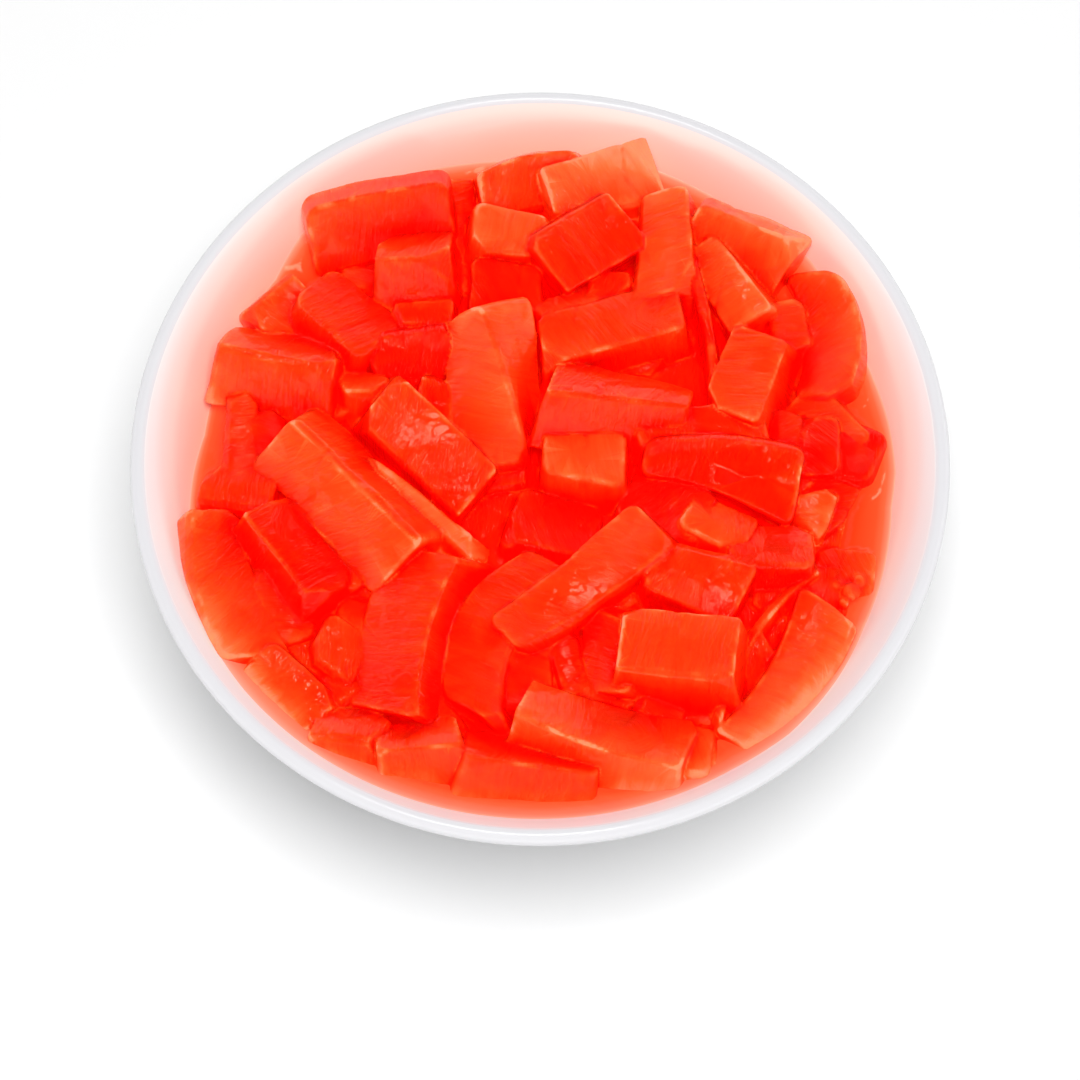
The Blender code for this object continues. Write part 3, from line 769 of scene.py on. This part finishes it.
def paleness(field, axes, points, tints):
    """How pale the red is at each point: 0 deep in a gap, and 1 where only a little gel covers the bowl.
    Gaps get painted shade: the less room over a point, the deeper its red.
    """
    normals = skin_normals(field, axes, points)
    painted_shade_openness = share_clear(field, axes, points, normals, OPEN_REACHES)
    fullness = share_clear(-field, axes, points, -normals, FULL_DEPTHS)
    to_wall = (wall_radius(points[:, 2]) - np.hypot(points[:, 0], points[:, 1])) * math.cos(FLARE)
    at_wall = np.clip(1 - to_wall / WALL_GLOW, 0, 1) ** 1.5
    height = (points[:, 2] - SYRUP_Z) / (GRID_TOP - SYRUP_Z)
    clouds = wobble(points, np.random.default_rng(CLOUD_SEED), *CLOUDS)
    mottle = np.clip(wobble(points, np.random.default_rng(MOTTLE_SEED), *MOTTLE), -1, 1)
    # Painted shade in the gaps, from the room over each point
    pale = PAINTED_GAP_SHADE * painted_shade_openness + PALE_HIGH * height + PALE_START
    pale = pale + PALE_THIN * (1 - fullness) + PALE_AT_WALL * at_wall
    return pale + PALE_TINT * tints + PALE_CLOUD * clouds + PALE_CLOUD * mottle


def neighbour_mean(values, ends):
    """The mean of each point's neighbours, along the net's edges."""
    total = np.zeros(values.shape)
    np.add.at(total, ends[:, 0], values[ends[:, 1]])
    np.add.at(total, ends[:, 1], values[ends[:, 0]])
    count = np.bincount(ends.ravel(), minlength=len(values))
    return total / np.maximum(count, 1).reshape(-1, *[1] * (values.ndim - 1))


def crease(points, normals, ends):
    """How sharply the skin bends: above zero along cut edges, below zero in seams, about 1 at a corner of
    the net's own size."""
    bend = ((points - neighbour_mean(points, ends)) * normals).sum(1) / (0.25 * GRID)
    return 0.5 * bend + 0.5 * neighbour_mean(bend, ends)


def keep_largest(shape):
    """Drops loose scraps and sealed pockets, so that one connected skin is left."""
    left = set(shape.verts)
    bodies = []
    while left:
        front = [left.pop()]
        body = []
        while front:
            vert = front.pop()
            body.append(vert)
            for edge in vert.link_edges:
                other = edge.other_vert(vert)
                if other in left:
                    left.remove(other)
                    front.append(other)
        bodies.append(body)
    bodies.sort(key=len)
    spare = [vert for body in bodies[:-1] for vert in body]
    bmesh.ops.delete(shape, geom=spare, context="VERTS")


def core_foot():
    """Radius of the core's small flat bottom."""
    return CORE_RADIUS - (SYRUP_Z - CORE_BOTTOM) * math.tan(FLARE)


def close_below(shape):
    """Carries the open lower edge down to the core's small flat bottom, deep in the syrup."""
    rim = [edge for edge in shape.edges if edge.is_boundary]
    drawn = bmesh.ops.extrude_edge_only(shape, edges=rim)["geom"]
    lower = [item for item in drawn if isinstance(item, bmesh.types.BMVert)]
    for vert in lower:
        flat = Vector((vert.co.x, vert.co.y, 0))
        vert.co = flat.normalized() * core_foot() * MM + Vector((0, 0, CORE_BOTTOM * MM))
    edges = [item for item in drawn if isinstance(item, bmesh.types.BMEdge)]
    cap = bmesh.ops.contextual_create(shape, geom=edges)["faces"]
    bmesh.ops.poke(shape, faces=cap)


def gel_material():
    """Coconut gel in red syrup, cut with a knife: a soft, clear gel that light sinks into and leaves as deep
    red, with a wet, rippled skin over faint knife marks. Marks finer than MARK_APART would not show at this
    size, so they are drawn that coarse."""
    material, tree, shader = new_material("wet_red_coconut_gel")
    pale = add_node(tree, "ShaderNodeAttribute", attribute_name="pale")
    cut = add_node(tree, "ShaderNodeAttribute", attribute_name="cut")
    marks = add_node(tree, "ShaderNodeMapping", {
        "Vector": cut.outputs["Vector"], "Scale": (1 / MARK_APART, 1 / MARK_LENGTH, 1 / MARK_LENGTH)})
    lines = add_node(tree, "ShaderNodeTexNoise", {
        "Vector": marks.outputs[0], "Scale": 1, "Detail": 4, "Roughness": 0.6})
    shade = add_node(tree, "ShaderNodeMath", {
        0: lines.outputs[0], 1: MARK_SHADE, 2: pale.outputs["Fac"]}, operation="MULTIPLY_ADD")
    # The points' tone, with its painted shade and painted highlights, turned into reds
    ramp = add_node(tree, "ShaderNodeValToRGB", {0: shade.outputs[0]}, GEL_REDS)
    place = add_node(tree, "ShaderNodeTexCoord")
    patch = add_node(tree, "ShaderNodeTexNoise", {
        "Vector": place.outputs["Object"], "Scale": 1 / (MARKED_PATCH * MM), "Detail": 2})
    where = add_node(tree, "ShaderNodeMapRange", {
        "Value": patch.outputs[0], "From Min": 0.3, "From Max": 0.55})
    amount = add_node(tree, "ShaderNodeMath", {
        0: where.outputs[0], 1: MARK_STRENGTH}, operation="MULTIPLY")
    scored = add_node(tree, "ShaderNodeBump", {
        "Height": lines.outputs[0], "Strength": amount.outputs[0], "Distance": MARK_DEPTH * MM})
    wet = add_node(tree, "ShaderNodeTexNoise", {
        "Vector": place.outputs["Object"], "Scale": 1 / (WET_RIPPLE * MM), "Detail": 2})
    film = add_node(tree, "ShaderNodeBump", {
        "Height": wet.outputs[0], "Strength": 0.8, "Distance": WET_DEPTH * MM, "Normal": scored.outputs[0]})
    tree.links.new(ramp.outputs[0], shader.inputs["Base Color"])
    tree.links.new(film.outputs[0], shader.inputs["Normal"])
    wet_red_shader(shader)
    return material


def porcelain_distance(tree):
    """How far, in metres, a point of the syrup is from the bowl's inner wall."""
    place = add_node(tree, "ShaderNodeTexCoord")
    split = add_node(tree, "ShaderNodeSeparateXYZ", {0: place.outputs["Object"]})
    flat = add_node(tree, "ShaderNodeCombineXYZ", {0: split.outputs["X"], 1: split.outputs["Y"]})
    radius = add_node(tree, "ShaderNodeVectorMath", {0: flat.outputs[0]}, operation="LENGTH")
    wall = add_node(tree, "ShaderNodeMath", {
        0: split.outputs["Z"], 1: math.tan(FLARE), 2: wall_radius(0) * MM}, operation="MULTIPLY_ADD")
    gap = add_node(tree, "ShaderNodeMath", {
        0: wall.outputs[0], 1: radius.outputs["Value"]}, operation="SUBTRACT")
    across = add_node(tree, "ShaderNodeMath", {0: gap.outputs[0], 1: math.cos(FLARE)}, operation="MULTIPLY")
    return across.outputs[0]


def wet_red_shader(shader):
    """What gel and syrup share: both are mostly water and sugar, so they bend light alike, and the red film
    on them warms what they mirror. Red light goes far in them, and green and blue are soon lost."""
    shader.inputs["Roughness"].default_value = 0.08
    shader.inputs["IOR"].default_value = 1.42
    shader.inputs["Specular Tint"].default_value = (*linear("#FFE4C2"), 1)
    shader.inputs["Subsurface Weight"].default_value = 1
    shader.inputs["Subsurface Radius"].default_value = (1, 0.12, 0.06)
    shader.inputs["Subsurface Scale"].default_value = RED_REACH * MM
    # Painted red glow: a faint red emission in gel and syrup alike
    shader.inputs["Emission Color"].default_value = (*linear("#FF0000"), 1)
    shader.inputs["Emission Strength"].default_value = PAINTED_INNER_GLOW


def strip_finish(strip, points, draw):
    """Where points lie along a strip's own knife marks, and how much paler than the rest they are: each
    strip and each of its faces has a shade of its own, which fades from one end to the other."""
    along, across, height, _, length = strip_coordinates(strip, points)
    turn = draw.uniform(-MARK_TURN, MARK_TURN)
    marks = np.stack([
        along * math.cos(turn) + across * math.sin(turn),
        across * math.cos(turn) - along * math.sin(turn),
        height,
    ], -1)
    sides = np.stack([along / length, across / strip.size[0], height / strip.size[1]], -1)
    face = np.abs(sides).argmax(-1)
    face = 2 * face + (np.take_along_axis(sides, face[:, None], 1)[:, 0] > 0)
    shades = draw.uniform(-1, 1) + draw.uniform(-1, 1, 6)
    fade = draw.uniform(-1, 1) * along / length + draw.uniform(-1, 1) * across / strip.size[0]
    return marks, shades[face] + SHADE_FADE * fade


def finish_strips(strips, nearest, points, draw):
    """The finish of every strip's points. Points of the core keep their place and a dark shade."""
    cut = points.copy()
    tints = np.full(len(points), CORE_TINT)
    for number, strip in enumerate(strips):
        mine = nearest == number
        cut[mine], tints[mine] = strip_finish(strip, points[mine], draw)
        tints[mine] += SHADES.get(strip.name, 0)
        cut[mine] += MARKS_SHIFT * number
    return cut, tints


def store(mesh, name, values):
    """Keeps one number for each point of a mesh."""
    mesh.attributes.new(name, "FLOAT", "POINT").data.foreach_set("value", values.astype(np.float32))


def thin_out(heap):
    """Leaves fewer faces in the heap where it is flat or hidden."""
    mesh = heap.data
    near = np.zeros(len(mesh.vertices), np.float32)
    mesh.attributes["near_edge"].data.foreach_get("value", near)
    flat = heap.vertex_groups.new(name="flat")
    flat.add(np.flatnonzero(near < NEAR_EDGE).tolist(), 1, "REPLACE")
    flat.add(np.flatnonzero(near >= NEAR_EDGE).tolist(), KEEP_EDGE, "REPLACE")
    fewer = heap.modifiers.new("fewer faces where flat", "DECIMATE")
    fewer.ratio = HEAP_TRIANGLES / sum(len(face.vertices) - 2 for face in mesh.polygons)
    fewer.vertex_group = "flat"
    fewer.vertex_group_factor = 1


def make_gel():
    """The heap: every strip welded to its neighbours by its wet skin, over the core."""
    axes, field, owner, strips = gel_field()
    points, quads, cells = surface_net(field, axes)
    ends = np.concatenate([quads[:, (i, (i + 1) % 4)] for i in range(4)])
    points = settle(field, axes, points, ends)
    draw = np.random.default_rng(FINISH_SEED)
    cut, tints = finish_strips(strips, owner[tuple((cells + 1).T)], points, draw)

    # Each strip lets the shade of what lies under it through
    shade = draw.uniform(-1, 1, len(strips) + 1)
    outward = skin_normals(field, axes, points)
    for depth in SEEN_DEPTHS:
        tints += SEEN_SHARE * shade[owners_at(owner, axes, points - depth * outward)]
    pale = paleness(field, axes, points, tints)

    # Cut edges get painted highlights in stretches, and seams, where syrup fills them, painted highlights in
    # some stretches and painted shade in others
    bend = crease(points, outward, ends)
    film = wobble(points, np.random.default_rng(PAINTED_LIGHT_STRETCH_SEED), *PAINTED_LIGHT_STRETCHES)
    pale += EDGE_PAINTED_HIGHLIGHT * np.clip(bend, 0, 1) ** 1.2 * np.clip(0.5 + 0.6 * film, 0.05, 1.3)
    pale += SEAM_PAINTED_LIGHT_AND_SHADE * np.clip(-bend, 0, 1) * np.clip(film, -1, 1)

    near = np.abs(bend)
    for _ in range(2):
        near = np.maximum(near, 2 * neighbour_mean(near, ends))
    near[points[:, 2] < SYRUP_Z - HIDDEN_BELOW] = 0

    mesh = bpy.data.meshes.new("gel_strips")
    mesh.from_pydata(points * MM, [], quads.tolist())
    places = mesh.attributes.new("cut", "FLOAT_VECTOR", "POINT")
    places.data.foreach_set("vector", cut.astype(np.float32).ravel())
    store(mesh, "near_edge", near)
    store(mesh, "pale", pale)
    finish_skin(mesh, keep_largest, close_below)
    mesh.materials.append(gel_material())
    heap = add_object("gel_strips", mesh)
    thin_out(heap)
    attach(heap, "root")
    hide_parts("gel_heap")
    return axes, field


def syrup_material():
    """Thick red sugar syrup, poured: clear and smooth, deep red where it is deep, and orange to pink where
    only a film of it lies on the white bowl."""
    material, tree, shader = new_material("thick_red_syrup")
    depth = add_node(tree, "ShaderNodeMapRange", {
        "Value": porcelain_distance(tree), "From Min": 0, "From Max": SYRUP_DEEP * MM})
    ramp = add_node(tree, "ShaderNodeValToRGB", {0: depth.outputs[0]}, SYRUP_REDS)
    tree.links.new(ramp.outputs[0], shader.inputs["Base Color"])
    wet_red_shader(shader)
    shader.inputs["Subsurface Weight"].default_value = 0
    return material


def gel_clearance(axes, field, x, y):
    """Distance from points on the syrup's level to the gel, from the field one cell above the level."""
    layer = field[:, :, int(round((SYRUP_Z + GRID - axes[2][0]) / GRID))]
    i = grid_index(axes[0], x, layer.shape[0])
    j = grid_index(axes[1], y, layer.shape[1])
    return np.maximum(layer[i, j], 0)


def ring(radius, height, around):
    """Points round the bowl's axis. The radius and the height may change on the way round."""
    return np.stack([radius * np.cos(around), radius * np.sin(around), height + 0 * around], -1)


def syrup_rows(axes, field):
    """Rings of points: up the hidden inner side, out over the level, up the wall, and down to the floor."""
    around = np.arange(SYRUP_AROUND) * 2 * math.pi / SYRUP_AROUND - math.pi
    creep = np.interp(np.degrees(around), *np.array(CREEP, float).T)
    level_start = CREEP_START - LEVEL_WIDTH
    way_out = wall_radius(creep) + WALL_SINK - CREEP_START + LEVEL_WIDTH
    rows = [
        ring(core_foot(), CORE_BOTTOM - CORE_GAP, around),
        ring(level_start - INNER_STEP[0], SYRUP_Z - INNER_STEP[1], around),
    ]
    for share in np.linspace(0, 1, SYRUP_ACROSS):
        radius = level_start + way_out * share
        climb = np.clip((radius - CREEP_START) / (wall_radius(creep) - CREEP_START), 0, 1) ** CREEP_CURVE
        level = ring(radius, SYRUP_Z, around)
        clearance = gel_clearance(axes, field, level[:, 0], level[:, 1])
        drawn_up = MENISCUS_RISE * np.exp(-clearance / MENISCUS_REACH)
        rows.append(ring(radius, SYRUP_Z + (creep - SYRUP_Z) * climb + drawn_up * (1 - climb), around))
    bend = arc(bend_centre(), FLOOR_BEND - FLOOR_GAP, -FLARE, -math.pi / 2, SYRUP_BEND_STEPS)
    return rows + [ring(r, z, around) for r, z in bend[:-1]]


def make_syrup(axes, field):
    """Syrup round the core: level in the gaps, drawn up a little at the gel, and creeping up the wall."""
    rows = syrup_rows(axes, field)
    points = [tuple(p) for row in rows for p in row]
    points += [(0, 0, CORE_BOTTOM - CORE_GAP), (0, 0, FLOOR_Z + FLOOR_GAP)]
    count = SYRUP_AROUND
    top_centre = len(points) - 2
    floor_centre = len(points) - 1
    last_row = (len(rows) - 1) * count
    faces = []
    for i in range(count):
        after = (i + 1) % count
        for k in range(len(rows) - 1):
            faces.append((k * count + i, (k + 1) * count + i, (k + 1) * count + after, k * count + after))
        faces.append((top_centre, i, after))
        faces.append((floor_centre, last_row + after, last_row + i))
    mesh = bpy.data.meshes.new("red_syrup")
    mesh.from_pydata([(x * MM, y * MM, z * MM) for x, y, z in points], [], faces)
    finish_skin(mesh)
    mesh.materials.append(syrup_material())
    syrup = add_object("red_syrup", mesh)
    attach(syrup, "root")
    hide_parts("syrup")


def make_floor():
    """A plain floor of backlit white acrylic: matt, and pure white outside the bowl's soft shadow."""
    mesh = bpy.data.meshes.new("floor")
    shape = bmesh.new()
    bmesh.ops.create_grid(shape, x_segments=1, y_segments=1, size=FLOOR_REACH)
    shape.to_mesh(mesh)
    shape.free()
    material, tree, shader = new_material("backlit_white_acrylic")
    shader.inputs["Base Color"].default_value = (*linear("#E8E8E8"), 1)
    shader.inputs["Roughness"].default_value = 0.9
    shader.inputs["Specular IOR Level"].default_value = 0
    shader.inputs["Emission Color"].default_value = (*linear("#FFFFFF"), 1)
    shader.inputs["Emission Strength"].default_value = FLOOR_GLOW
    mesh.materials.append(material)
    floor = add_object("floor", mesh)


def make_camera():
    """The photograph's view: from the front and high above the bowl, with a long lens."""
    lens = bpy.data.cameras.new("camera")
    lens.lens = CAMERA_LENS
    lens.sensor_width = CAMERA_SENSOR
    lens.clip_start = CAMERA_NEAR
    camera = add_object("camera", lens)
    back = Vector((0, -math.cos(CAMERA_ELEVATION), math.sin(CAMERA_ELEVATION)))
    camera.location = TARGET + back * CAMERA_DISTANCE
    camera.rotation_euler = (-back).to_track_quat("-Z", "Y").to_euler()
    bpy.context.scene.camera = camera


def make_softbox(name, back, left, span, watts):
    """A square softbox over the bowl, tipped back and left from the vertical by two angles."""
    light = bpy.data.lights.new(name, "AREA")
    light.size = 2 * LIGHT_DISTANCE * math.tan(span / 2)
    light.energy = watts
    softbox = add_object(name, light)
    way = Vector((-math.tan(left), math.tan(back), 1)).normalized()
    softbox.location = TARGET + way * LIGHT_DISTANCE
    softbox.rotation_euler = (-way).to_track_quat("-Z", "Y").to_euler()
    return softbox


def make_light():
    """A white studio with two softboxes overhead: a wide one that fills and a small one that glints."""
    make_softbox("fill_softbox", FILL_BACK, FILL_LEFT, FILL_SPAN, FILL_WATTS).visible_glossy = False
    make_softbox("glint_softbox", GLINT_BACK, GLINT_LEFT, GLINT_SPAN, GLINT_WATTS)
    world = bpy.data.worlds.new("studio")
    world.use_nodes = True
    tree = world.node_tree
    direction = add_node(tree, "ShaderNodeTexCoord")
    split = add_node(tree, "ShaderNodeSeparateXYZ", {0: direction.outputs["Generated"]})
    shades = add_node(tree, "ShaderNodeValToRGB", {0: split.outputs["Z"]}, ROOM_SHADES)
    tree.links.new(shades.outputs[0], tree.nodes["Background"].inputs["Color"])
    tree.nodes["Background"].inputs["Strength"].default_value = ROOM_STRENGTH
    bpy.context.scene.world = world
    bpy.context.scene.view_settings.view_transform = "Standard"


make_camera()
make_light()
make_floor()
make_bowl()
make_syrup(*make_gel())

bpy.context.view_layer.update()
